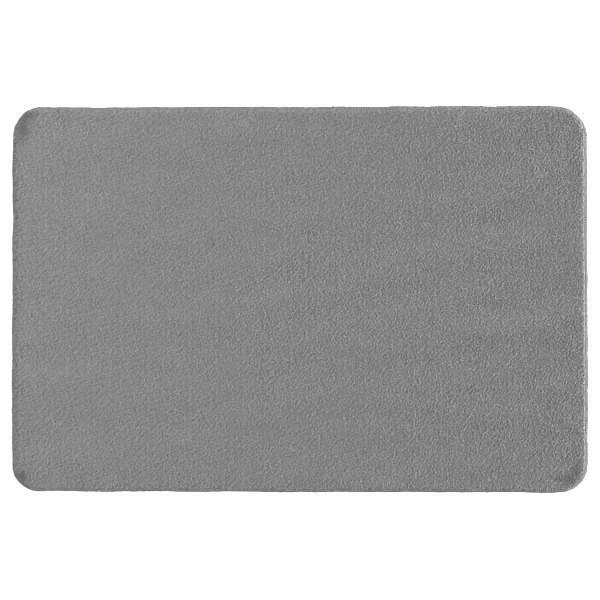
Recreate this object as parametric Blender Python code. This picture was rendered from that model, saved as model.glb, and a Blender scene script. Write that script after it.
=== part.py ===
"""A tufted plush bath mat lying flat, overlocked all the way round.

From the floor up it is a rubber underside, a latex coat, the ground cloth and the plush pile.
Three threads bind its edge, and a blank care label lies under it.
Metres, +Z up. The origin is the middle of the underside, +X runs along the long side.
"""

import math

import bmesh
import bpy

# The mat as a whole
LENGTH = 0.898
WIDTH = 0.602
THICKNESS = 0.013
CORNER_RADIUS = 0.041
CORNER_STEPS = 16

# Clearance between pieces that touch
GAP = 0.0003

# The layers, from the floor up
BACKING_THICKNESS = 0.0016
COAT_THICKNESS = 0.0005
CLOTH_THICKNESS = 0.0008

# The overlock seam: its bands reach SEAM_WIDTH in from the outline
SEAM_WIDTH = 0.006
LOOPER_THICKNESS = 0.0006
NEEDLE_THREAD_DIAMETER = 0.0006
SEAM_CLEAR_OF_FLOOR = 0.0001

NEEDLE_THREAD_SIDES = 8

# The pile's rounded shoulders; its edges sharper than SHARP_ANGLE are shaded as edges
SHOULDER = 0.008
SHOULDER_STEPS = 6
SHARP_ANGLE = math.radians(50)

# The care label, caught in the seam of the -Y side and lying in a hollow of the underside
LABEL_WIDTH = 0.034
LABEL_LENGTH = 0.052
LABEL_THICKNESS = 0.00025
LABEL_CORNER_RADIUS = 0.0015
LABEL_X = 0.300

# How far a cutter reaches past the surface that it cuts
CUT_PAST = 0.002

# Points nearer than this are welded into one
WELD_DISTANCE = 0.00001

# A face is a wall when its normal points up or down by less than this
WALL_NORMAL_Z = 0.5

# Heights that follow from the layers
COAT_LOW = BACKING_THICKNESS + GAP
CLOTH_LOW = COAT_LOW + COAT_THICKNESS + GAP
CLOTH_HIGH = CLOTH_LOW + CLOTH_THICKNESS
PILE_LOW = CLOTH_HIGH + GAP
SEAM_LOW = SEAM_CLEAR_OF_FLOOR
SEAM_HIGH = PILE_LOW + LOOPER_THICKNESS
SEAM_SPLIT = (SEAM_LOW + SEAM_HIGH) / 2
REBATE_HIGH = SEAM_LOW + LOOPER_THICKNESS + GAP
LABEL_LOW = SEAM_CLEAR_OF_FLOOR
LABEL_HIGH = LABEL_LOW + LABEL_THICKNESS

# Insets from the outline that follow from the seam
LAYER_INSET = LOOPER_THICKNESS + GAP
REBATE_INSET = SEAM_WIDTH + GAP
NEEDLE_INSET = SEAM_WIDTH + GAP + NEEDLE_THREAD_DIAMETER / 2
PILE_INSET = NEEDLE_INSET + NEEDLE_THREAD_DIAMETER / 2 + GAP


def clear_scene():
    for old in list(bpy.data.objects):
        bpy.data.objects.remove(old, do_unlink=True)


def new_collection(name):
    collection = bpy.data.collections.new(name)
    bpy.context.scene.collection.children.link(collection)
    return collection


def new_material(name, colour, roughness):
    material = bpy.data.materials.new(name)
    material.use_nodes = True
    shader = material.node_tree.nodes["Principled BSDF"]
    shader.inputs["Base Color"].default_value = (*colour, 1.0)
    shader.inputs["Roughness"].default_value = roughness
    shader.inputs["Metallic"].default_value = 0.0
    material.diffuse_color = (*colour, 1.0)
    return material


def rounded_rectangle(length, width, radius):
    """The corners' arcs in order round the outline, anticlockwise seen from above."""
    points = []
    for quarter in range(4):
        turn = quarter * math.pi / 2
        side_x = 1 if quarter in (0, 3) else -1
        side_y = 1 if quarter in (0, 1) else -1
        centre_x = side_x * (length / 2 - radius)
        centre_y = side_y * (width / 2 - radius)
        for step in range(CORNER_STEPS + 1):
            angle = turn + step / CORNER_STEPS * math.pi / 2
            points.append((centre_x + radius * math.cos(angle), centre_y + radius * math.sin(angle)))
    return points


def mat_outline(inset):
    return rounded_rectangle(LENGTH - 2 * inset, WIDTH - 2 * inset, CORNER_RADIUS - inset)


def add_closed_spline(curve, points):
    spline = curve.splines.new("POLY")
    spline.points.add(len(points) - 1)
    for point, (x, y) in zip(spline.points, points):
        point.co = (x, y, 0.0, 1.0)
    spline.use_cyclic_u = True


def slab(name, outlines, low, high, collection, material=None, centre=(0.0, 0.0)):
    """A flat sheet between two heights. Outlines after the first are holes in it."""
    curve = bpy.data.curves.new(name, "CURVE")
    curve.dimensions = "2D"
    curve.fill_mode = "BOTH"
    curve.extrude = (high - low) / 2
    for outline in outlines:
        add_closed_spline(curve, outline)
    drawn = bpy.data.objects.new(name + "_outline", curve)
    drawn.location = (*centre, (low + high) / 2)
    collection.objects.link(drawn)
    return mesh_from_curve(drawn, name, collection, material)


def mesh_from_curve(drawn, name, collection, material):
    """Turns a curve object into a welded mesh object in the same place."""
    bpy.context.view_layer.update()
    evaluated = drawn.evaluated_get(bpy.context.evaluated_depsgraph_get())
    mesh = bpy.data.meshes.new_from_object(evaluated)
    mesh.name = name
    bm = bmesh.new()
    bm.from_mesh(mesh)
    bmesh.ops.remove_doubles(bm, verts=bm.verts, dist=WELD_DISTANCE)
    bm.to_mesh(mesh)
    bm.free()
    piece = bpy.data.objects.new(name, mesh)
    piece.matrix_world = drawn.matrix_world
    collection.objects.link(piece)
    bpy.data.objects.remove(drawn, do_unlink=True)
    if material:
        mesh.materials.clear()
        mesh.materials.append(material)
    return piece


def thread_ring(name, path_inset, height, profile, parts, helpers, material):
    """A closed profile carried round the mat's edge. Its points are (outwards, up), clockwise."""
    section = bpy.data.curves.new(name + "_section", "CURVE")
    section.dimensions = "2D"
    add_closed_spline(section, profile)
    section_guide = bpy.data.objects.new(name + "_section", section)
    make_helper(section_guide)
    helpers.objects.link(section_guide)
    path = bpy.data.curves.new(name, "CURVE")
    path.dimensions = "3D"
    path.twist_mode = "Z_UP"
    path.bevel_mode = "OBJECT"
    path.bevel_object = section_guide
    add_closed_spline(path, mat_outline(path_inset))
    path.materials.append(material)
    ring = bpy.data.objects.new(name, path)
    ring.location.z = height
    parts.objects.link(ring)
    return ring


def make_helper(guide):
    guide.hide_render = True
    guide.display_type = "WIRE"


def cut(piece, cutter):
    make_helper(cutter)
    boolean = piece.modifiers.new("cut_" + cutter.name, "BOOLEAN")
    boolean.operation = "DIFFERENCE"
    boolean.object = cutter


def make_anti_slip_backing(parts, cutters):
    """The rubber underside, thinned under the seam and hollowed where the label lies."""
    rubber = new_material("backing_rubber", (0.36, 0.36, 0.35), 0.75)
    outline = mat_outline(LAYER_INSET)
    backing = slab("anti_slip_backing", [outline], 0.0, BACKING_THICKNESS, parts, rubber)
    rim = [mat_outline(-CUT_PAST), mat_outline(REBATE_INSET)]
    cut(backing, slab("seam_rebate", rim, -CUT_PAST, REBATE_HIGH, cutters))
    hollow_width = LABEL_WIDTH + 2 * GAP
    hollow_low_y = label_low_y() - CUT_PAST
    hollow_high_y = label_low_y() + LABEL_LENGTH + GAP
    hollow_outline = rounded_rectangle(
        hollow_width, hollow_high_y - hollow_low_y, LABEL_CORNER_RADIUS + GAP
    )
    hollow_centre = (LABEL_X, (hollow_low_y + hollow_high_y) / 2)
    hollow = slab(
        "label_hollow", [hollow_outline], -CUT_PAST, LABEL_HIGH + GAP, cutters, centre=hollow_centre
    )
    cut(backing, hollow)


def make_tuft_lock_coat(parts):
    latex = new_material("tuft_lock_latex", (0.60, 0.58, 0.52), 0.6)
    outline = mat_outline(LAYER_INSET)
    slab("tuft_lock_coat", [outline], COAT_LOW, COAT_LOW + COAT_THICKNESS, parts, latex)


def make_ground_cloth(parts):
    cloth = new_material("ground_cloth_weave", (0.22, 0.22, 0.22), 0.9)
    slab("ground_cloth", [mat_outline(LAYER_INSET)], CLOTH_LOW, CLOTH_HIGH, parts, cloth)


def make_pile(parts):
    """The plush as one block, rounded where it falls away to the seam."""
    plush = new_material("plush_pile", (0.243, 0.241, 0.235), 0.95)
    pile = slab("pile", [mat_outline(PILE_INSET)], PILE_LOW, THICKNESS, parts, plush)
    bm = bmesh.new()
    bm.from_mesh(pile.data)
    top = (THICKNESS - PILE_LOW) / 2
    rim = [
        edge
        for edge in bm.edges
        if all(vert.co.z > top - GAP for vert in edge.verts)
        and any(abs(face.normal.z) < WALL_NORMAL_Z for face in edge.link_faces)
    ]
    bmesh.ops.bevel(
        bm,
        geom=rim,
        offset=SHOULDER,
        offset_type="OFFSET",
        segments=SHOULDER_STEPS,
        profile=0.5,
        affect="EDGES",
    )
    bm.to_mesh(pile.data)
    bm.free()
    pile.data.shade_smooth()
    pile.data.set_sharp_from_angle(angle=SHARP_ANGLE)


def make_looper_threads(parts, helpers, material):
    """Each looper thread is an L-shaped band: one leg along the mat's face, one down or up its rim."""
    band = LOOPER_THICKNESS
    upper_drop = SEAM_HIGH - SEAM_SPLIT - GAP / 2
    upper = [
        (-SEAM_WIDTH, 0.0),
        (0.0, 0.0),
        (0.0, -upper_drop),
        (-band, -upper_drop),
        (-band, -band),
        (-SEAM_WIDTH, -band),
    ]
    thread_ring("upper_looper_thread", 0.0, SEAM_HIGH, upper, parts, helpers, material)
    lower_rise = SEAM_SPLIT - SEAM_LOW - GAP / 2
    lower = [
        (-SEAM_WIDTH, 0.0),
        (-SEAM_WIDTH, band),
        (-band, band),
        (-band, lower_rise),
        (0.0, lower_rise),
        (0.0, 0.0),
    ]
    thread_ring("lower_looper_thread", 0.0, SEAM_LOW, lower, parts, helpers, material)


def make_needle_thread(parts, helpers, material):
    """The round needle thread, lying between the upper band and the pile."""
    radius = NEEDLE_THREAD_DIAMETER / 2
    turns = [-2 * math.pi * side / NEEDLE_THREAD_SIDES for side in range(NEEDLE_THREAD_SIDES)]
    circle = [(radius * math.cos(turn), radius * math.sin(turn)) for turn in turns]
    height = PILE_LOW + radius
    thread_ring("needle_thread", NEEDLE_INSET, height, circle, parts, helpers, material)


def label_low_y():
    """Where the label's caught end starts, just inside the seam of the -Y side."""
    return -WIDTH / 2 + REBATE_INSET


def make_care_label(parts):
    ribbon = new_material("label_ribbon", (0.75, 0.75, 0.73), 0.6)
    outline = rounded_rectangle(LABEL_WIDTH, LABEL_LENGTH, LABEL_CORNER_RADIUS)
    centre = (LABEL_X, label_low_y() + LABEL_LENGTH / 2)
    slab("care_label", [outline], LABEL_LOW, LABEL_HIGH, parts, ribbon, centre)


def main():
    clear_scene()
    parts = new_collection("bath_mat")
    helpers = new_collection("cutters_and_guides")
    thread = new_material("seam_thread", (0.26, 0.27, 0.29), 0.7)
    make_anti_slip_backing(parts, helpers)
    make_tuft_lock_coat(parts)
    make_ground_cloth(parts)
    make_pile(parts)
    make_looper_threads(parts, helpers, thread)
    make_needle_thread(parts, helpers, thread)
    make_care_label(parts)


main()
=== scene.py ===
"""Looks of the plush bath mat: tufted pile, overlock stitches, woven ground and waffled rubber underside.

Every piece is first made in the mat's ideal, flat shape, and settle() then bends them all alike, so that
the layers keep their places while the cut edge wanders and lifts as a real textile's does.
Metres, +Z up, in the frame's own axes.
"""

import math

import bpy
import numpy as np
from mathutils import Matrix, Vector


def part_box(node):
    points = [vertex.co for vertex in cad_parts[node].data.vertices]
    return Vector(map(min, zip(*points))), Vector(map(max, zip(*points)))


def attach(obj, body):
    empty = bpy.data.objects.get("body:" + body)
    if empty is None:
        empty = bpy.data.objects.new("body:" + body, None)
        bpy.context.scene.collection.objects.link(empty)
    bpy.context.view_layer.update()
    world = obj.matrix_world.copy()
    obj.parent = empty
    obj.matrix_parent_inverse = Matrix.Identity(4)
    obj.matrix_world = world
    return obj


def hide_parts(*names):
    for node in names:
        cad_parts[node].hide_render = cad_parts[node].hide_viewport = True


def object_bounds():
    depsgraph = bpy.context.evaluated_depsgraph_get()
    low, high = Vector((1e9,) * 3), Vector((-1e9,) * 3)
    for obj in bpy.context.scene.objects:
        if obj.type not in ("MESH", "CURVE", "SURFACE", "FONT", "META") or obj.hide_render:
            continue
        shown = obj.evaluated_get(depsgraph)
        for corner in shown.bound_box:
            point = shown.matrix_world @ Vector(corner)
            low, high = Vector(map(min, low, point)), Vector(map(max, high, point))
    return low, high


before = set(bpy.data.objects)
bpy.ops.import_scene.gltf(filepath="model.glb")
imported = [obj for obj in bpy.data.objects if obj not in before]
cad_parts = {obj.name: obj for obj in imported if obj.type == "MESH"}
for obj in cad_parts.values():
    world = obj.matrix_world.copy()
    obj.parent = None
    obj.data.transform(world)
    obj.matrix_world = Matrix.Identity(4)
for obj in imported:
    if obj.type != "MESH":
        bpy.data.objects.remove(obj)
CAD_LOW, CAD_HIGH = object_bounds()

# The mat's outline. The frame gives its sides, and only the corners' radius is repeated here
HALF_LENGTH = (CAD_HIGH.x - CAD_LOW.x) / 2
HALF_WIDTH = (CAD_HIGH.y - CAD_LOW.y) / 2
CORNER_RADIUS = 0.041
CORNER_STEPS = 40

# Heights and insets of the frame's pieces
PILE_TOP = CAD_HIGH.z
PILE_INSET = HALF_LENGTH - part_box("pile")[1].x
LAYER_INSET = HALF_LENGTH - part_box("ground_cloth")[1].x
FRAME_NEEDLE_RADIUS = 0.0003
NEEDLE_INSET = HALF_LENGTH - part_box("needle_thread")[1].x + FRAME_NEEDLE_RADIUS
SEAM_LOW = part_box("lower_looper_thread")[0].z
SEAM_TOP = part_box("upper_looper_thread")[1].z
GROUND_LOW, GROUND_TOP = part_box("ground_cloth")[0].z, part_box("ground_cloth")[1].z
COAT_LOW, COAT_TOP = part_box("tuft_lock_coat")[0].z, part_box("tuft_lock_coat")[1].z
BACKING_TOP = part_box("anti_slip_backing")[1].z
LABEL_LOW, LABEL_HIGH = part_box("care_label")

# The pile's surface rises from the seam over a shoulder, which is long at -X and short at +X
CROWN_FOOT = SEAM_TOP + 0.0005
CROWN_TOP = PILE_TOP - 0.0006
CROWN_START = 0.0040
CROWN_POWER = 2.2
SHOULDER_LONGEST = 0.0160
SHOULDER_LOSS = 0.0080
SHOULDER_SPAN = 0.43

# Rows of tufts, which run along Y. The jitter is a share of the spacing
ROW_SPACING = 0.0016
STITCH_SPACING = 0.0016
ROOT_JITTER = 0.15
ROOT_CLEAR_OF_SEAM = 0.0004
ROOT_ABOVE_GROUND = 0.0004
STRIPS = 8

# One lock of fibre: a spindle, widest at its ring. Spreads are shares of the size
LOCK_LENGTH = 0.0045
LOCK_LENGTH_SPREAD = 0.08
LOCK_WIDTH = 0.00085
LOCK_WIDTH_SPREAD = 0.12
RING_SIDES = 3
RING_AT = 0.60
RING_SHIFT = 0.36
LOCK_POINTS = RING_SIDES + 2

# How the locks lean, as slopes. At the edge they splay out over the seam
LEAN = -0.45
LEAN_SPREAD = 0.28
LEAN_REACH = 0.8
NAP_LEAN = 0.08
EDGE_LEAN = 0.15
SPLAY = 0.45
SPLAY_REACH = 0.020

# Clumps of locks, and what moves their tips up and down
CLUMP_SIZE = 0.0047
CLUMP_LIMIT = 2
CLUMP_PULL = 0.00045
CLUMP_HEIGHT = 0.00041
TIP_SPREAD = 0.00015
STREAK_HEIGHT = 0.00012
RUFFLE_SINK = 0.0022

# How light a lock's colour is, from 0 to 1, and what changes it: uneven dye from lock to lock, painted
# light on the clumps' crests with painted shade in their hollows, and painted shade where the pile is
# ruffled
TONE = 0.62
CLUMP_PAINTED_LIGHT_AND_SHADE = 0.23
CLUMP_PAINTED_SHADE_SKEW = 0.45
LOCK_TONE = 0.13
RUFFLE_PAINTED_SHADE = 0.75

# A uniform draw between these limits has a spread of about one
UNIT_SPREAD = 1.7

# Where the seam's turn has ruffled the pile, which sinks there and is coloured darker as painted shade:
# place, reach along X and Y, and strength
RUFFLES = (
    (-0.432, 0.266, 0.008, 0.018, 1.0),
    (-0.422, 0.285, 0.012, 0.007, 0.9),
    (-0.431, -0.276, 0.007, 0.009, 1.0),
    (0.425, -0.265, 0.010, 0.014, 1.0),
    (0.409, -0.280, 0.018, 0.008, 1.0),
)

# The bed of roots under the locks
BED_DEPTH = 0.0028
BED_RUFFLE_SINK = 0.002
BED_LEAST = 0.0009
BED_GAP = 0.0003

# The real mat's small distortion: bowed and slanted sides, corners drawn in, an edge that wanders and lifts
SIDE_BOW = 0.0006
SIDE_BOW_TURN = 2.2
SIDE_SLANT = 0.0003
LONG_SIDE_SLANT = 0.0011
EDGE_REACH = 0.08
EDGE_WANDER = 0.00035
EDGE_LIFT = 0.0005
PUCKER = 0.00022
PUCKER_REACH = 0.012
CORNER_PULLS = ((1, 1, 0.0046), (-1, 1, 0.0020), (1, -1, 0.0012), (-1, -1, 0.0012))
CORNER_PULL_INSET = 0.012
CORNER_PULL_REACH = 0.045
DIAGONAL = 0.7

# The seam's threads
STITCH_PITCH = 0.00375
UPPER_LOOPER_RADIUS = 0.00062
LOWER_LOOPER_RADIUS = 0.00048
NEEDLE_RADIUS = 0.00038
LOOPER_WOBBLE = 0.00012
NEEDLE_WOBBLE = 0.00006
WOBBLE_SHARES = (1, 1, 0.4)
YARN_UNEVENNESS = 0.10
THREAD_CLEARANCE = 1.4
# The yarn's colour is darkened as painted shade round the rim: fully up to this inset, faded out by the
# next
RIM_PAINTED_SHADE_UP_TO = 0.0018
RIM_PAINTED_SHADE_GONE_FROM = 0.0036

# The flat layers, the waffle of the rubber and the hollow over the label
FINE_STEP = 0.004
COARSE_STEP = 0.008
COAT_SET_IN = 0.0015
WAFFLE_PAD = 0.016
WAFFLE_DEPTH = 0.0004
RUBBER_RIM_RISE = 0.0012
RUBBER_RIM_BLEND = 0.004
LABEL_HOLLOW_HEIGHT = 0.0007
LABEL_HOLLOW_HALF_WIDTH = 0.021
LABEL_HOLLOW_MARGIN = 0.004
LABEL_WAVE = 0.00005
LABEL_WAVE_ACROSS, LABEL_WAVE_ALONG = 160, 210
LABEL_COLUMNS, LABEL_ROWS = 9, 14

# The stage
FLOOR_SIZE = 14
FRAMED_WIDTH = 0.9375
LENS, SENSOR = 50, 36
CAMERA_X, CAMERA_Y = -0.00015, -0.0012

RNG = np.random.default_rng(20)


# ---------------------------------------------------------------- fields

class Waves:
    """A smooth random field of unit spread: plane waves of about one wavelength, headed within a fan."""

    def __init__(self, wavelength, count, heading=0.0, fan=math.pi, spread=0.3):
        angle = heading + fan * RNG.uniform(-1, 1, count)
        size = 2 * math.pi / wavelength * np.exp(spread * RNG.standard_normal(count))
        self.kx = size * np.cos(angle)
        self.ky = size * np.sin(angle)
        self.phase = RNG.uniform(0, 2 * math.pi, count)
        self.scale = math.sqrt(2 / count)

    def value(self, x, y):
        total = np.zeros_like(x)
        for kx, ky, phase in zip(self.kx, self.ky, self.phase):
            total += np.cos(kx * x + ky * y + phase)
        return total * self.scale

    def slope(self, x, y):
        along_x, along_y = np.zeros_like(x), np.zeros_like(x)
        for kx, ky, phase in zip(self.kx, self.ky, self.phase):
            wave = -np.sin(kx * x + ky * y + phase)
            along_x += kx * wave
            along_y += ky * wave
        return along_x * self.scale, along_y * self.scale


CLUMPS = Waves(CLUMP_SIZE, 70, heading=math.radians(-24), fan=math.radians(62), spread=0.34)
NAP = Waves(0.028, 24)
STREAKS = Waves(0.055, 16, heading=math.radians(100), fan=math.radians(22))
RIPPLES = Waves(0.090, 14)
PUCKERS = Waves(0.0095, 20)


def smooth_step(low, high, value):
    t = np.clip((value - low) / (high - low), 0, 1)
    return t * t * (3 - 2 * t)


def inset_of(x, y):
    """How far a point lies inside the mat's outline."""
    qx = np.abs(x) - (HALF_LENGTH - CORNER_RADIUS)
    qy = np.abs(y) - (HALF_WIDTH - CORNER_RADIUS)
    outside = np.hypot(np.maximum(qx, 0), np.maximum(qy, 0))
    inside = np.minimum(np.maximum(qx, qy), 0)
    return CORNER_RADIUS - outside - inside


def outward_of(x, y):
    """Unit direction from a point to the nearest edge."""
    step = 0.0005
    gx = inset_of(x - step, y) - inset_of(x + step, y)
    gy = inset_of(x, y - step) - inset_of(x, y + step)
    size = np.maximum(np.hypot(gx, gy), 1e-9)
    return gx / size, gy / size


def crown(x, y):
    """Height of the pile's surface."""
    shoulder = SHOULDER_LONGEST - SHOULDER_LOSS * smooth_step(-SHOULDER_SPAN, SHOULDER_SPAN, x)
    t = np.clip((inset_of(x, y) - CROWN_START) / shoulder, 0, 1)
    return CROWN_FOOT + (CROWN_TOP - CROWN_FOOT) * np.sqrt(1 - (1 - t) ** CROWN_POWER)


def corner_ruffle(x, y):
    """How ruffled the pile is at a point, from 0 to 1."""
    ruffle = np.zeros_like(x)
    for place_x, place_y, reach_x, reach_y, strength in RUFFLES:
        far = ((x - place_x) / reach_x) ** 2 + ((y - place_y) / reach_y) ** 2
        ruffle += strength * np.exp(-far)
    return np.minimum(ruffle, 1)


def settle(points):
    """The small distortion of the real mat, for an (n, 3) array of points."""
    x, y, z = points[:, 0], points[:, 1], points[:, 2]
    across, along = x / HALF_LENGTH, y / HALF_WIDTH
    out_x, out_y = outward_of(x, y)
    inset = inset_of(x, y)
    near_edge = 1 - smooth_step(0.0, EDGE_REACH, inset)
    wander = EDGE_WANDER * RIPPLES.value(x, y) * near_edge
    at_seam = inset < PUCKER_REACH
    near_seam = 1 - smooth_step(NEEDLE_INSET, PUCKER_REACH, inset[at_seam])
    wander[at_seam] += PUCKER * PUCKERS.value(x[at_seam], y[at_seam]) * near_seam
    bow = SIDE_BOW * np.sin(-SIDE_BOW_TURN * along) - SIDE_SLANT * along
    moved_x = x + across * bow + wander * out_x
    moved_y = y + along * LONG_SIDE_SLANT * across + wander * out_y
    for corner_x, corner_y, pull in CORNER_PULLS:
        centre_x = corner_x * (HALF_LENGTH - CORNER_PULL_INSET)
        centre_y = corner_y * (HALF_WIDTH - CORNER_PULL_INSET)
        near_corner = 1 - smooth_step(0.0, CORNER_PULL_REACH, np.hypot(x - centre_x, y - centre_y))
        moved_x = moved_x - corner_x * DIAGONAL * pull * near_corner
        moved_y = moved_y - corner_y * DIAGONAL * pull * near_corner
    lift = EDGE_LIFT * (1 + RIPPLES.value(y, x)) * near_edge
    return np.stack([moved_x, moved_y, z + np.maximum(lift, 0)], axis=1)


# ---------------------------------------------------------------- mesh makers

def set_marks(mesh, name, values):
    """Gives the mesh's points a named number, which a material can read."""
    layer = mesh.attributes.new(name, "FLOAT", "POINT")
    layer.data.foreach_set("value", np.asarray(values, dtype=np.float32))


def new_object(name, mesh, material):
    mesh.materials.append(material)
    piece = bpy.data.objects.new(name, mesh)
    bpy.context.scene.collection.objects.link(piece)
    return piece


def new_mesh_object(name, points, faces, material):
    """A smooth mesh, settled, from (n, 3) points and faces that all have the same corner count."""
    mesh = bpy.data.meshes.new(name)
    points = settle(np.asarray(points, dtype=np.float64)).astype(np.float32)
    faces = np.asarray(faces, dtype=np.int32)
    corners = faces.shape[1]
    mesh.vertices.add(len(points))
    mesh.vertices.foreach_set("co", points.ravel())
    mesh.loops.add(faces.size)
    mesh.loops.foreach_set("vertex_index", faces.ravel())
    mesh.polygons.add(len(faces))
    mesh.polygons.foreach_set("loop_start", np.arange(0, faces.size, corners, dtype=np.int32))
    mesh.update(calc_edges=True)
    mesh.shade_smooth()
    return new_object(name, mesh, material)


def rounded_grid(inset, step):
    """Grid points that fill the outline at that inset. Its corner squares are bent into quarter discs."""
    half_x, half_y, radius = HALF_LENGTH - inset, HALF_WIDTH - inset, CORNER_RADIUS - inset
    xs = np.linspace(-half_x, half_x, int(round(2 * half_x / step)) + 1)
    ys = np.linspace(-half_y, half_y, int(round(2 * half_y / step)) + 1)
    x, y = np.meshgrid(xs, ys)
    into_x = np.maximum(np.abs(x) - (half_x - radius), 0) / radius
    into_y = np.maximum(np.abs(y) - (half_y - radius), 0) / radius
    bent_x = x + np.sign(x) * radius * into_x * (np.sqrt(1 - into_y**2 / 2) - 1)
    bent_y = y + np.sign(y) * radius * into_y * (np.sqrt(1 - into_x**2 / 2) - 1)
    return bent_x, bent_y


def closed_sheet(name, x, y, top_z, bottom_z, material):
    """A closed body between two heights over a grid of points: a top, a bottom and the wall round them."""
    rows, columns = x.shape
    upper = np.stack([x, y, top_z], axis=-1).reshape(-1, 3)
    lower = np.stack([x, y, bottom_z], axis=-1).reshape(-1, 3)
    index = np.arange(rows * columns).reshape(rows, columns)
    corners = [index[:-1, :-1], index[:-1, 1:], index[1:, 1:], index[1:, :-1]]
    quads = np.stack(corners, axis=-1).reshape(-1, 4)
    rim = np.concatenate([index[0, :-1], index[:-1, -1], index[-1, :0:-1], index[:0:-1, 0]])
    following = np.roll(rim, -1)
    under = rows * columns
    walls = np.stack([rim, rim + under, following + under, following], axis=-1)
    faces = np.concatenate([quads, quads[:, ::-1] + under, walls])
    return new_mesh_object(name, np.concatenate([upper, lower]), faces, material)


def mat_sheet(name, inset, step, top, bottom, material):
    """A closed sheet in the mat's shape; top and bottom give its heights from arrays of x and y."""
    x, y = rounded_grid(inset, step)
    return closed_sheet(name, x, y, top(x, y), bottom(x, y), material)


def level(height):
    """The same height everywhere."""
    return lambda x, y: np.full_like(x, height)


# ---------------------------------------------------------------- threads

def edge_table():
    """Arc length, place and outward direction along the outline, closely spaced."""
    places, normals = [], []
    for quarter in range(4):
        side_x = 1 if quarter in (0, 3) else -1
        side_y = 1 if quarter in (0, 1) else -1
        centre = np.array([side_x * (HALF_LENGTH - CORNER_RADIUS), side_y * (HALF_WIDTH - CORNER_RADIUS)])
        angles = (quarter + np.linspace(0, 1, CORNER_STEPS + 1)) * math.pi / 2
        normal = np.stack([np.cos(angles), np.sin(angles)], axis=1)
        places.append(centre + CORNER_RADIUS * normal)
        normals.append(normal)
    places, normals = np.concatenate(places), np.concatenate(normals)
    places = np.concatenate([places, places[:1]])
    normals = np.concatenate([normals, normals[:1]])
    length = np.concatenate([[0], np.cumsum(np.hypot(*np.diff(places, axis=0).T))])
    return length, places, normals


EDGE_LENGTH, EDGE_PLACES, EDGE_NORMALS = edge_table()
STITCHES = int(round(EDGE_LENGTH[-1] / STITCH_PITCH))


def at_edge(along, inset, height):
    """Points at that many stitches round the outline, that far in from it and that high."""
    run = np.mod(along, STITCHES) / STITCHES * EDGE_LENGTH[-1]
    place = np.stack([np.interp(run, EDGE_LENGTH, EDGE_PLACES[:, axis]) for axis in (0, 1)], axis=1)
    normal = np.stack([np.interp(run, EDGE_LENGTH, EDGE_NORMALS[:, axis]) for axis in (0, 1)], axis=1)
    flat = place - normal * inset[:, None]
    return np.concatenate([flat, height[:, None]], axis=1)


def tube_mesh(name, points, radius):
    """A closed tube of slightly uneven yarn along the points."""
    curve = bpy.data.curves.new(name, "CURVE")
    curve.dimensions = "3D"
    curve.bevel_depth = radius
    curve.bevel_resolution = 1
    spline = curve.splines.new("POLY")
    spline.points.add(len(points) - 1)
    spline.points.foreach_set("co", np.column_stack([points, np.ones(len(points))]).ravel())
    unevenness = YARN_UNEVENNESS * RNG.standard_normal(len(points))
    spline.points.foreach_set("radius", 1 + unevenness)
    spline.use_cyclic_u = True
    spline.use_smooth = True
    drawn = bpy.data.objects.new(name + "_path", curve)
    bpy.context.scene.collection.objects.link(drawn)
    evaluated = drawn.evaluated_get(bpy.context.evaluated_depsgraph_get())
    mesh = bpy.data.meshes.new_from_object(evaluated)
    bpy.data.objects.remove(drawn, do_unlink=True)
    return mesh


def thread(name, stitch, radius, wobble, material):
    """One closed thread round the mat. stitch lists (along, inset, height) for one stitch."""
    shape = np.array(stitch)
    along = (np.arange(STITCHES)[:, None] + shape[None, :, 0]).ravel()
    inset = np.tile(shape[:, 1], STITCHES)
    height = np.tile(shape[:, 2], STITCHES)
    points = at_edge(along, inset, height)
    points += RNG.normal(0, wobble, points.shape) * np.array(WOBBLE_SHARES)
    points = settle(points)
    points[:, 2] = np.maximum(points[:, 2], THREAD_CLEARANCE * radius)
    mesh = tube_mesh(name, points, radius)
    # The rim mark is painted shade: it darkens the yarn's colour where the thread turns down round the rim
    rim = 1 - smooth_step(RIM_PAINTED_SHADE_UP_TO, RIM_PAINTED_SHADE_GONE_FROM, inset)
    set_marks(mesh, "rim", np.repeat(rim, len(mesh.vertices) // len(points)))
    return new_object(name, mesh, material)


def make_upper_looper(material):
    """Lies across the top of the seam, turns down over the rim and runs along it for a moment."""
    rim_z = (SEAM_LOW + SEAM_TOP) / 2 + 0.0002
    top = SEAM_TOP
    stitch = [
        (0.00, NEEDLE_INSET, top - 0.0002),
        (0.11, 0.72 * NEEDLE_INSET, top + 0.0002),
        (0.24, 0.0040, top + 0.0002),
        (0.31, 0.0030, top - 0.0001),
        (0.36, 0.0018, top - 0.0010),
        (0.41, 0.0012, rim_z),
        (0.59, 0.0012, rim_z),
        (0.64, 0.0018, top - 0.0010),
        (0.69, 0.0030, top - 0.0001),
        (0.76, 0.0040, top + 0.0002),
        (0.89, 0.72 * NEEDLE_INSET, top + 0.0002),
    ]
    return thread("upper_looper_stitches", stitch, UPPER_LOOPER_RADIUS, LOOPER_WOBBLE, material)


def make_lower_looper(material):
    """Lies across the underside of the seam and turns up to meet the upper looper at the rim."""
    rim_z = (SEAM_LOW + SEAM_TOP) / 2 - 0.0002
    low = LOWER_LOOPER_RADIUS + 0.0002
    stitch = [
        (0.50, NEEDLE_INSET, low),
        (0.60, 0.60 * NEEDLE_INSET, low),
        (0.68, 0.0015, low),
        (0.74, 0.0010, low + 0.0006),
        (0.80, 0.0009, rim_z),
        (1.20, 0.0009, rim_z),
        (1.26, 0.0010, low + 0.0006),
        (1.32, 0.0015, low),
        (1.40, 0.60 * NEEDLE_INSET, low),
    ]
    return thread("lower_looper_stitches", stitch, LOWER_LOOPER_RADIUS, LOOPER_WOBBLE, material)


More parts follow.
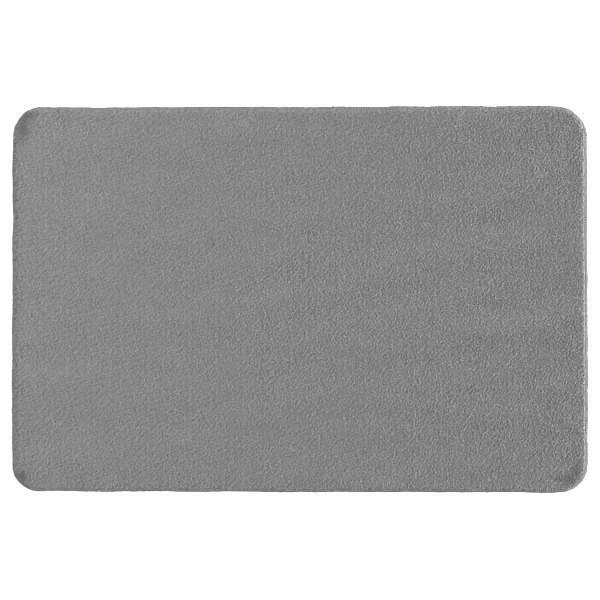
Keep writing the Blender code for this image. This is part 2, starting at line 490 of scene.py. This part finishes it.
def make_needle_thread(material):
    """A straight row of stitches, each dipping through the ground cloth at its ends."""
    top = SEAM_TOP + 0.0004
    dip = GROUND_TOP - 0.0004
    stitch = [
        (0.02, NEEDLE_INSET, dip),
        (0.10, NEEDLE_INSET, top - 0.0002),
        (0.35, NEEDLE_INSET, top + 0.0001),
        (0.65, NEEDLE_INSET, top + 0.0001),
        (0.90, NEEDLE_INSET, top - 0.0002),
        (0.98, NEEDLE_INSET, dip),
    ]
    return thread("needle_stitches", stitch, NEEDLE_RADIUS, NEEDLE_WOBBLE, material)


# ---------------------------------------------------------------- pile

def tuft_roots():
    """Roots in rows that run along Y, each a little out of place."""
    xs = np.arange(-HALF_LENGTH, HALF_LENGTH, ROW_SPACING)
    ys = np.arange(-HALF_WIDTH, HALF_WIDTH, STITCH_SPACING)
    x, y = np.meshgrid(xs, ys)
    y = y + (np.arange(len(xs)) % 2) * STITCH_SPACING / 2
    x = x + RNG.normal(0, ROOT_JITTER * ROW_SPACING, x.shape)
    y = y + RNG.normal(0, ROOT_JITTER * STITCH_SPACING, y.shape)
    x, y = x.ravel(), y.ravel()
    keep = inset_of(x, y) > PILE_INSET + ROOT_CLEAR_OF_SEAM
    return x[keep], y[keep]


def clump_at(x, y):
    return np.clip(CLUMPS.value(x, y), -CLUMP_LIMIT, CLUMP_LIMIT)


def lock_tips(x, y):
    """Where each lock of fibre ends: it leans with the nap, towards its clump and out over the seam."""
    count = len(x)
    out_x, out_y = outward_of(x, y)
    edge = 1 - smooth_step(PILE_INSET, SPLAY_REACH, inset_of(x, y))
    streak = STREAKS.value(x, y)
    lean_x = LEAN + NAP_LEAN * NAP.value(x, y) + edge * (SPLAY * out_x - EDGE_LEAN)
    lean_y = NAP_LEAN * (NAP.value(y, x) + streak) + SPLAY * edge * out_y
    lean_x = lean_x + LEAN_SPREAD * RNG.standard_normal(count)
    lean_y = lean_y + LEAN_SPREAD * RNG.standard_normal(count)
    length = LOCK_LENGTH * (1 + LOCK_LENGTH_SPREAD * RNG.standard_normal(count))
    pull_x, pull_y = CLUMPS.slope(x, y)
    pull = CLUMP_PULL * CLUMP_SIZE / (2 * math.pi)
    tip_x = x + LEAN_REACH * length * lean_x + pull * pull_x
    tip_y = y + LEAN_REACH * length * lean_y + pull * pull_y
    uneven = TIP_SPREAD * RNG.uniform(-UNIT_SPREAD, UNIT_SPREAD, count)
    tip_z = crown(x, y) + CLUMP_HEIGHT * clump_at(x, y) + uneven
    tip_z = tip_z - RUFFLE_SINK * corner_ruffle(x, y) + STREAK_HEIGHT * streak
    return tip_x, tip_y, tip_z, length


def lock_points(x, y):
    """Each lock is a bent spindle: a point at its root, a ring and a point at its tip."""
    count = len(x)
    tip_x, tip_y, tip_z, length = lock_tips(x, y)
    root_z = np.maximum(tip_z - length, GROUND_TOP + ROOT_ABOVE_GROUND)
    middle_x = x + RING_SHIFT * (tip_x - x)
    middle_y = y + RING_SHIFT * (tip_y - y)
    middle_z = root_z + RING_AT * (tip_z - root_z)
    width = LOCK_WIDTH * (1 + LOCK_WIDTH_SPREAD * RNG.standard_normal(count))
    twist = RNG.uniform(0, 2 * math.pi, count)
    points = np.zeros((count, LOCK_POINTS, 3))
    points[:, 0] = np.stack([x, y, root_z], axis=1)
    for side in range(RING_SIDES):
        angle = twist + side * 2 * math.pi / RING_SIDES
        around = [middle_x + width * np.cos(angle), middle_y + width * np.sin(angle), middle_z]
        points[:, 1 + side] = np.stack(around, axis=1)
    points[:, -1] = np.stack([tip_x, tip_y, tip_z], axis=1)
    return points


def lock_faces(count):
    """Triangles from the root to the ring and from the ring to the tip."""
    faces = []
    for side in range(1, RING_SIDES + 1):
        following = side % RING_SIDES + 1
        faces += [[0, following, side], [side, following, LOCK_POINTS - 1]]
    return (np.array(faces)[None] + LOCK_POINTS * np.arange(count)[:, None, None]).reshape(-1, 3)


def lock_tones(x, y):
    """How light each lock's colour is: uneven dye, with painted light and shade by clump and painted shade
    where the pile is ruffled.
    """
    clump = clump_at(x, y)
    shade = clump - CLUMP_PAINTED_SHADE_SKEW * (clump**2 - 1)
    uneven = RNG.uniform(-UNIT_SPREAD, UNIT_SPREAD, len(x))
    # Painted light and shade: crests of clumps lighter, hollows and ruffled corners darker; only the uneven
    # term is dye
    return TONE + CLUMP_PAINTED_LIGHT_AND_SHADE * shade + LOCK_TONE * uneven - RUFFLE_PAINTED_SHADE * corner_ruffle(x, y)


def make_tufts(material):
    """The fibre locks, in strips from left to right so that no one mesh is huge."""
    x, y = tuft_roots()
    points = lock_points(x, y)
    tone = lock_tones(x, y)
    rise = np.array([0] + [RING_AT] * RING_SIDES + [1])
    pieces = []
    for strip, chosen in enumerate(np.array_split(np.argsort(x), STRIPS), start=1):
        strip_points = points[chosen].reshape(-1, 3)
        piece = new_mesh_object(f"pile_tufts_{strip}", strip_points, lock_faces(len(chosen)), material)
        set_marks(piece.data, "rise", np.tile(rise, len(chosen)))
        # The tone mark carries uneven dye together with painted light and shade
        set_marks(piece.data, "tone", np.repeat(tone[chosen], LOCK_POINTS))
        pieces.append(piece)
    return pieces


def make_bed(material):
    """The bed of roots that shows between the locks, coloured dark as painted shade."""
    def top(x, y):
        surface = crown(x, y) - BED_DEPTH - BED_RUFFLE_SINK * corner_ruffle(x, y)
        return np.maximum(surface, GROUND_TOP + BED_LEAST)

    return mat_sheet("pile_bed", PILE_INSET, FINE_STEP, top, level(GROUND_TOP + BED_GAP), material)


# ---------------------------------------------------------------- flat layers and label

def make_ground(material):
    top, bottom = level(GROUND_TOP), level(GROUND_LOW)
    return mat_sheet("ground_cloth_sheet", LAYER_INSET, COARSE_STEP, top, bottom, material)


def make_coat(material):
    inset = LAYER_INSET + COAT_SET_IN
    return mat_sheet("latex_coat", inset, COARSE_STEP, level(COAT_TOP), level(COAT_LOW), material)


def make_backing(material):
    """The rubber underside: a waffle of small pads, thinned under the seam and hollowed over the label."""
    label_x = (LABEL_LOW.x + LABEL_HIGH.x) / 2

    def bottom(x, y):
        turn = 2 * math.pi / WAFFLE_PAD
        waffle = (1 - np.cos(turn * x)) * (1 - np.cos(turn * y)) / 4
        beside_label = np.abs(x - label_x) < LABEL_HOLLOW_HALF_WIDTH
        over_label = beside_label & (y < LABEL_HIGH.y + LABEL_HOLLOW_MARGIN)
        height = np.where(over_label, LABEL_HOLLOW_HEIGHT, WAFFLE_DEPTH * (1 - waffle))
        rim = 1 - smooth_step(NEEDLE_INSET, NEEDLE_INSET + RUBBER_RIM_BLEND, inset_of(x, y))
        return np.maximum(height, RUBBER_RIM_RISE * rim)

    return mat_sheet("rubber_underside", LAYER_INSET, FINE_STEP, level(BACKING_TOP), bottom, material)


def make_label(material):
    """A blank ribbon with a faint wave in it."""
    xs = np.linspace(LABEL_LOW.x, LABEL_HIGH.x, LABEL_COLUMNS)
    ys = np.linspace(LABEL_LOW.y, LABEL_HIGH.y, LABEL_ROWS)
    x, y = np.meshgrid(xs, ys)
    wave = LABEL_WAVE * np.sin(y * LABEL_WAVE_ALONG) * np.sin(x * LABEL_WAVE_ACROSS)
    return closed_sheet("care_label_ribbon", x, y, wave + LABEL_HIGH.z, wave + LABEL_LOW.z, material)


# ---------------------------------------------------------------- materials

def grey(tone):
    return (tone, tone, tone)


class Shader:
    """A Principled material with a few short ways to add nodes."""

    def __init__(self, name, roughness, sheen=0.0):
        self.material = bpy.data.materials.new(name)
        self.material.use_nodes = True
        self.nodes = self.material.node_tree.nodes
        self.links = self.material.node_tree.links
        self.principled = self.nodes["Principled BSDF"]
        self.principled.inputs["Roughness"].default_value = roughness
        self.principled.inputs["Sheen Weight"].default_value = sheen

    def add(self, kind, **settings):
        """A new node. A setting is one of its properties, or else the input of that name."""
        node = self.nodes.new(kind)
        for key, value in settings.items():
            if hasattr(node, key):
                setattr(node, key, value)
            else:
                node.inputs[key.replace("_", " ").title()].default_value = value
        return node

    def place(self):
        return self.add("ShaderNodeTexCoord").outputs["Object"]

    def mark(self, name):
        """The number that the mesh's points have under that name."""
        return self.add("ShaderNodeAttribute", attribute_name=name).outputs["Fac"]

    def noise(self, scale, detail=2.0):
        texture = self.add("ShaderNodeTexNoise", scale=scale, detail=detail)
        self.links.new(self.place(), texture.inputs["Vector"])
        return texture.outputs["Fac"]

    def weave(self, scale):
        """Threads over and under each other: crossed bands."""
        crossed = self.add("ShaderNodeMath", operation="MULTIPLY")
        for socket, axis in enumerate(("X", "Y")):
            bands = self.add("ShaderNodeTexWave", bands_direction=axis)
            bands.inputs["Scale"].default_value = scale
            bands.inputs["Distortion"].default_value = 0.6
            self.links.new(self.place(), bands.inputs["Vector"])
            self.links.new(bands.outputs["Fac"], crossed.inputs[socket])
        return crossed.outputs[0]

    def ramp(self, value, low, high, low_at=0.0, high_at=1.0):
        ramp = self.add("ShaderNodeValToRGB")
        ramp.color_ramp.elements[0].position = low_at
        ramp.color_ramp.elements[1].position = high_at
        ramp.color_ramp.elements[0].color = (*low, 1)
        ramp.color_ramp.elements[1].color = (*high, 1)
        self.links.new(value, ramp.inputs["Fac"])
        return ramp.outputs["Color"]

    def multiply(self, first, second):
        mix = self.add("ShaderNodeMix", data_type="RGBA", blend_type="MULTIPLY")
        mix.inputs[0].default_value = 1.0
        self.links.new(first, mix.inputs[6])
        self.links.new(second, mix.inputs[7])
        return mix.outputs[2]

    def colour(self, value):
        self.links.new(value, self.principled.inputs["Base Color"])

    def roughen(self, value, low, high):
        spread = self.add("ShaderNodeMapRange")
        spread.inputs["To Min"].default_value = low
        spread.inputs["To Max"].default_value = high
        self.links.new(value, spread.inputs["Value"])
        self.links.new(spread.outputs["Result"], self.principled.inputs["Roughness"])

    def bump(self, value, strength, distance):
        bump = self.add("ShaderNodeBump")
        bump.inputs["Strength"].default_value = strength
        bump.inputs["Distance"].default_value = distance
        self.links.new(value, bump.inputs["Height"])
        self.links.new(bump.outputs["Normal"], self.principled.inputs["Normal"])


def plush_material():
    """Fibre tips over roots darkened as painted shade, with slightly uneven dye from lock to lock and place
    to place, and painted light and shade by clump and in the ruffled corners.
    """
    shader = Shader("plush_pile", roughness=0.9, sheen=0.12)
    root, tip = (0.112, 0.111, 0.109), (0.284, 0.2825, 0.2762)
    # Painted shade: the locks' lower parts are coloured darker than their tips
    depth_shade = shader.ramp(shader.mark("rise"), root, tip, low_at=0.1, high_at=0.85)
    # The tone mark: uneven dye, with painted light and shade by clump and painted shade in the ruffled
    # corners
    lock = shader.ramp(shader.mark("tone"), grey(0.42), grey(1.0))
    warm, cool = (1.0, 0.985, 0.955), (0.965, 0.98, 1.0)
    dye = shader.ramp(shader.noise(90, detail=3), warm, cool, low_at=0.40, high_at=0.60)
    shader.colour(shader.multiply(shader.multiply(depth_shade, lock), dye))
    shader.roughen(shader.noise(1500, detail=1), low=0.82, high=0.98)
    shader.bump(shader.noise(2500, detail=1), strength=0.25, distance=0.0003)
    return shader.material


def root_material():
    """The locks' lower ends, seen between the tips, their colour darkened as painted shade."""
    shader = Shader("pile_roots", roughness=0.95)
    grain = shader.noise(400)
    # Painted shade: the roots' colours are set darker than the tips'
    dark, light = (0.14, 0.139, 0.136), (0.20, 0.198, 0.194)
    shader.colour(shader.ramp(grain, dark, light, low_at=0.35, high_at=0.65))
    shader.roughen(grain, low=0.88, high=0.98)
    shader.bump(shader.noise(900), strength=0.6, distance=0.001)
    return shader.material


def thread_material():
    """Fluffy yarn, its colour darkened as painted shade where it turns down round the rim."""
    shader = Shader("seam_thread", roughness=0.75, sheen=0.1)
    fluff = shader.noise(1400, detail=3)
    dark, light = (0.155, 0.156, 0.157), (0.225, 0.226, 0.228)
    yarn = shader.ramp(fluff, dark, light, low_at=0.35, high_at=0.65)
    # Painted shade: the yarn's colour is darkened by the rim mark
    rim = shader.ramp(shader.mark("rim"), grey(1.0), grey(0.06))
    shader.colour(shader.multiply(yarn, rim))
    shader.roughen(fluff, low=0.68, high=0.86)
    shader.bump(shader.noise(3500, detail=2), strength=0.5, distance=0.0004)
    return shader.material


def cloth_material():
    """A plain weave, its colour darkened as painted shade, because it shows only in the shadowed gaps
    between the stitches.
    """
    shader = Shader("ground_cloth", roughness=0.9)
    weave = shader.weave(250)
    # Painted shade: the weave's colours are set dark for the shadowed gaps it shows in
    shader.colour(shader.ramp(weave, grey(0.05), grey(0.11)))
    shader.roughen(shader.noise(700), low=0.82, high=0.96)
    shader.bump(weave, strength=0.6, distance=0.0004)
    return shader.material


def latex_material():
    """A dull cream film with a slightly pitted surface."""
    shader = Shader("tuft_lock_latex", roughness=0.55)
    dark, light = (0.52, 0.50, 0.44), (0.64, 0.62, 0.56)
    shader.colour(shader.ramp(shader.noise(220), dark, light, low_at=0.35, high_at=0.65))
    shader.roughen(shader.noise(90), low=0.45, high=0.70)
    shader.bump(shader.noise(600), strength=0.5, distance=0.0005)
    return shader.material


def rubber_material():
    """Dull grey rubber with a fine, cloudy grain."""
    shader = Shader("backing_rubber", roughness=0.7)
    dark, light = (0.30, 0.30, 0.295), (0.40, 0.40, 0.39)
    shader.colour(shader.ramp(shader.noise(160, detail=3), dark, light, low_at=0.35, high_at=0.65))
    shader.roughen(shader.noise(60), low=0.60, high=0.82)
    shader.bump(shader.noise(1800), strength=0.4, distance=0.0005)
    return shader.material


def ribbon_material():
    """A fine, pale, blank ribbon weave."""
    shader = Shader("label_ribbon", roughness=0.6)
    weave = shader.weave(500)
    shader.colour(shader.ramp(weave, (0.66, 0.66, 0.64), (0.78, 0.78, 0.76)))
    shader.roughen(shader.noise(900), low=0.50, high=0.72)
    shader.bump(weave, strength=0.4, distance=0.0001)
    return shader.material


# ---------------------------------------------------------------- stage

def make_floor():
    shader = Shader("floor_white", roughness=0.9)
    shader.principled.inputs["Base Color"].default_value = (*grey(0.9), 1)
    bpy.ops.mesh.primitive_plane_add(size=FLOOR_SIZE, location=(0, 0, 0))
    floor = bpy.context.object
    floor.name = "floor"
    floor.data.materials.append(shader.material)


def make_light(name, place, size, power):
    """A round soft box, turned towards the mat."""
    data = bpy.data.lights.new(name, "AREA")
    data.shape = "DISK"
    data.size = size
    data.energy = power
    light = bpy.data.objects.new(name, data)
    light.location = place
    light.rotation_euler = (-Vector(place)).to_track_quat("-Z", "Y").to_euler()
    bpy.context.scene.collection.objects.link(light)


def make_world(strength):
    world = bpy.data.worlds.new("studio")
    world.use_nodes = True
    background = world.node_tree.nodes["Background"]
    background.inputs["Color"].default_value = (1, 1, 1, 1)
    background.inputs["Strength"].default_value = strength
    bpy.context.scene.world = world


def make_camera():
    """Straight above, so high that FRAMED_WIDTH of the floor fills the picture's width."""
    data = bpy.data.cameras.new("camera")
    data.sensor_width = SENSOR
    data.lens = LENS
    data.clip_end = 20
    camera = bpy.data.objects.new("camera", data)
    camera.location = (CAMERA_X, CAMERA_Y, FRAMED_WIDTH * data.lens / data.sensor_width)
    bpy.context.scene.collection.objects.link(camera)
    bpy.context.scene.camera = camera


# ---------------------------------------------------------------- the mat

def place(piece, slot, *nodes):
    """Ties a piece to the frame: its body and the nodes that it stands for. Its finish, slot, is not used.
    """
    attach(piece, "root")
    if nodes:
        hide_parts(*nodes)


def make_mat():
    seam = thread_material()
    bed = make_bed(root_material())
    place(bed, "plush_pile", "pile")
    for tufts in make_tufts(plush_material()):
        place(tufts, "plush_pile")
    ground = make_ground(cloth_material())
    place(ground, "ground_cloth", "ground_cloth")
    place(make_coat(latex_material()), "tuft_lock_latex", "tuft_lock_coat")
    place(make_backing(rubber_material()), "backing_rubber", "anti_slip_backing")
    place(make_upper_looper(seam), "seam_thread", "upper_looper_thread")
    place(make_lower_looper(seam), "seam_thread", "lower_looper_thread")
    place(make_needle_thread(seam), "seam_thread", "needle_thread")
    label = make_label(ribbon_material())
    place(label, "label_ribbon", "care_label")


make_mat()
make_floor()
make_world(strength=0.935)
make_light("key", place=(3.0, 0.4, 1.95), size=1.7, power=352)
make_light("fill", place=(-1.1, 0.4, 1.15), size=0.8, power=12.5)
make_camera()
bpy.context.scene.view_settings.view_transform = "Standard"
